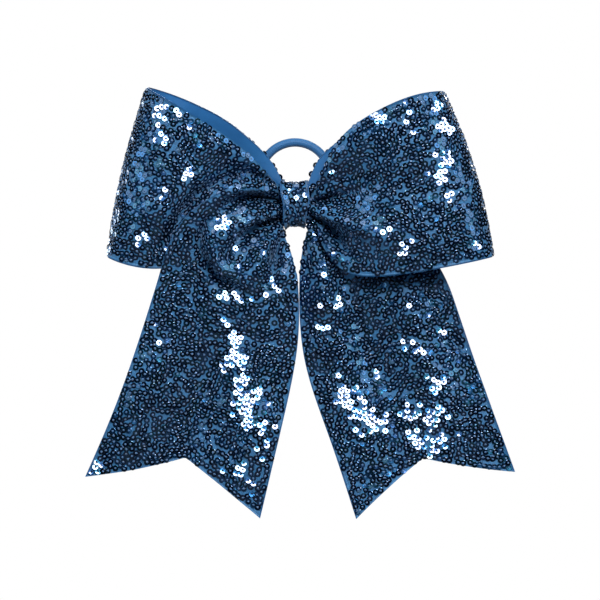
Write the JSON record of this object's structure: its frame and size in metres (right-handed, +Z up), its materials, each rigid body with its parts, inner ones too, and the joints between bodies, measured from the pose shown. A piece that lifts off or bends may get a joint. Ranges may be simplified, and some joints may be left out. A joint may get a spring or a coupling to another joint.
{
  "type": "cheer hair bow",
  "caption": "Large cheer hair bow of sequinned ribbon with two loops, two swallow-tailed tails, a wrapped knot and an elastic hair tie.",
  "frame": {"origin": "middle of the flat back of the knot, where the bow rests against the ponytail", "axes": "+Z up, +Y into the hair, +X to the viewer's right when the bow is seen from the front"},
  "size_m": [0.1845, 0.0341, 0.1853],
  "materials": {
    "sequin_face": "glossy dark blue sequins on blue mesh",
    "satin_backing": "plain blue satin ribbon",
    "thread": "matt navy thread",
    "elastic": "smooth woven blue elastic cord",
    "hot_glue": "cloudy hot glue"
  },
  "bodies": {
    "knot": {"knot_wrap_sequin_face": "sequin_face", "knot_wrap_backing": "satin_backing", "knot_wrap_glue": "hot_glue", "front_pleats": "satin_backing", "middle_pleats": "satin_backing", "back_pleats": "satin_backing", "binding_thread": "thread", "hair_tie_glue_pad": "hot_glue", "hair_tie_left_end": "elastic", "hair_tie_end_joint": "hot_glue", "hair_tie_right_end": "elastic"},
    "left_loop": {"left_loop_sequin_face": "sequin_face", "left_loop_backing": "satin_backing", "left_tail_upper_sequin_face": "sequin_face", "left_tail_upper_backing": "satin_backing"},
    "right_loop": {"right_loop_sequin_face": "sequin_face", "right_loop_backing": "satin_backing", "right_tail_upper_sequin_face": "sequin_face", "right_tail_upper_backing": "satin_backing"},
    "left_tail": {"left_tail_sequin_face": "sequin_face", "left_tail_backing": "satin_backing"},
    "right_tail": {"right_tail_sequin_face": "sequin_face", "right_tail_backing": "satin_backing"},
    "hair_tie": {"hair_tie_left_leg": "elastic", "hair_tie_right_leg": "elastic"},
    "hair_tie_crown": {"hair_tie_crown": "elastic"}
  },
  "joints": [
    {"name": "left_loop_bend", "type": "hinge", "parent": "knot", "child": "left_loop", "pos_m": [-0.009, -0.0149, 0], "axis": [0, 0, 1], "range_deg": [-10, 20], "stiffness_Nm_per_rad": 0.004},
    {"name": "right_loop_bend", "type": "hinge", "parent": "knot", "child": "right_loop", "pos_m": [0.009, -0.0149, 0], "axis": [0, 0, -1], "range_deg": [-10, 20], "stiffness_Nm_per_rad": 0.004},
    {"name": "left_tail_swing", "type": "hinge", "parent": "left_loop", "child": "left_tail", "pos_m": [-0.029, -0.028, -0.034], "axis": [-1, 0, 0], "range_deg": [0, 60], "stiffness_Nm_per_rad": 0.002},
    {"name": "right_tail_swing", "type": "hinge", "parent": "right_loop", "child": "right_tail", "pos_m": [0.034, -0.016, -0.034], "axis": [-1, 0, 0], "range_deg": [-60, 0], "stiffness_Nm_per_rad": 0.002},
    {"name": "hair_tie_fold", "type": "hinge", "parent": "knot", "child": "hair_tie", "pos_m": [0, -0.00665, -0.003], "axis": [-1, 0, 0], "range_deg": [0, 100], "stiffness_Nm_per_rad": 0.003},
    {"name": "hair_tie_stretch", "type": "slide", "parent": "hair_tie", "child": "hair_tie_crown", "axis": [0, 0, 1], "range_m": [0, 0.02], "stiffness_N_per_m": 30, "deforming": ["hair_tie_left_leg", "hair_tie_right_leg"]}
  ]
}
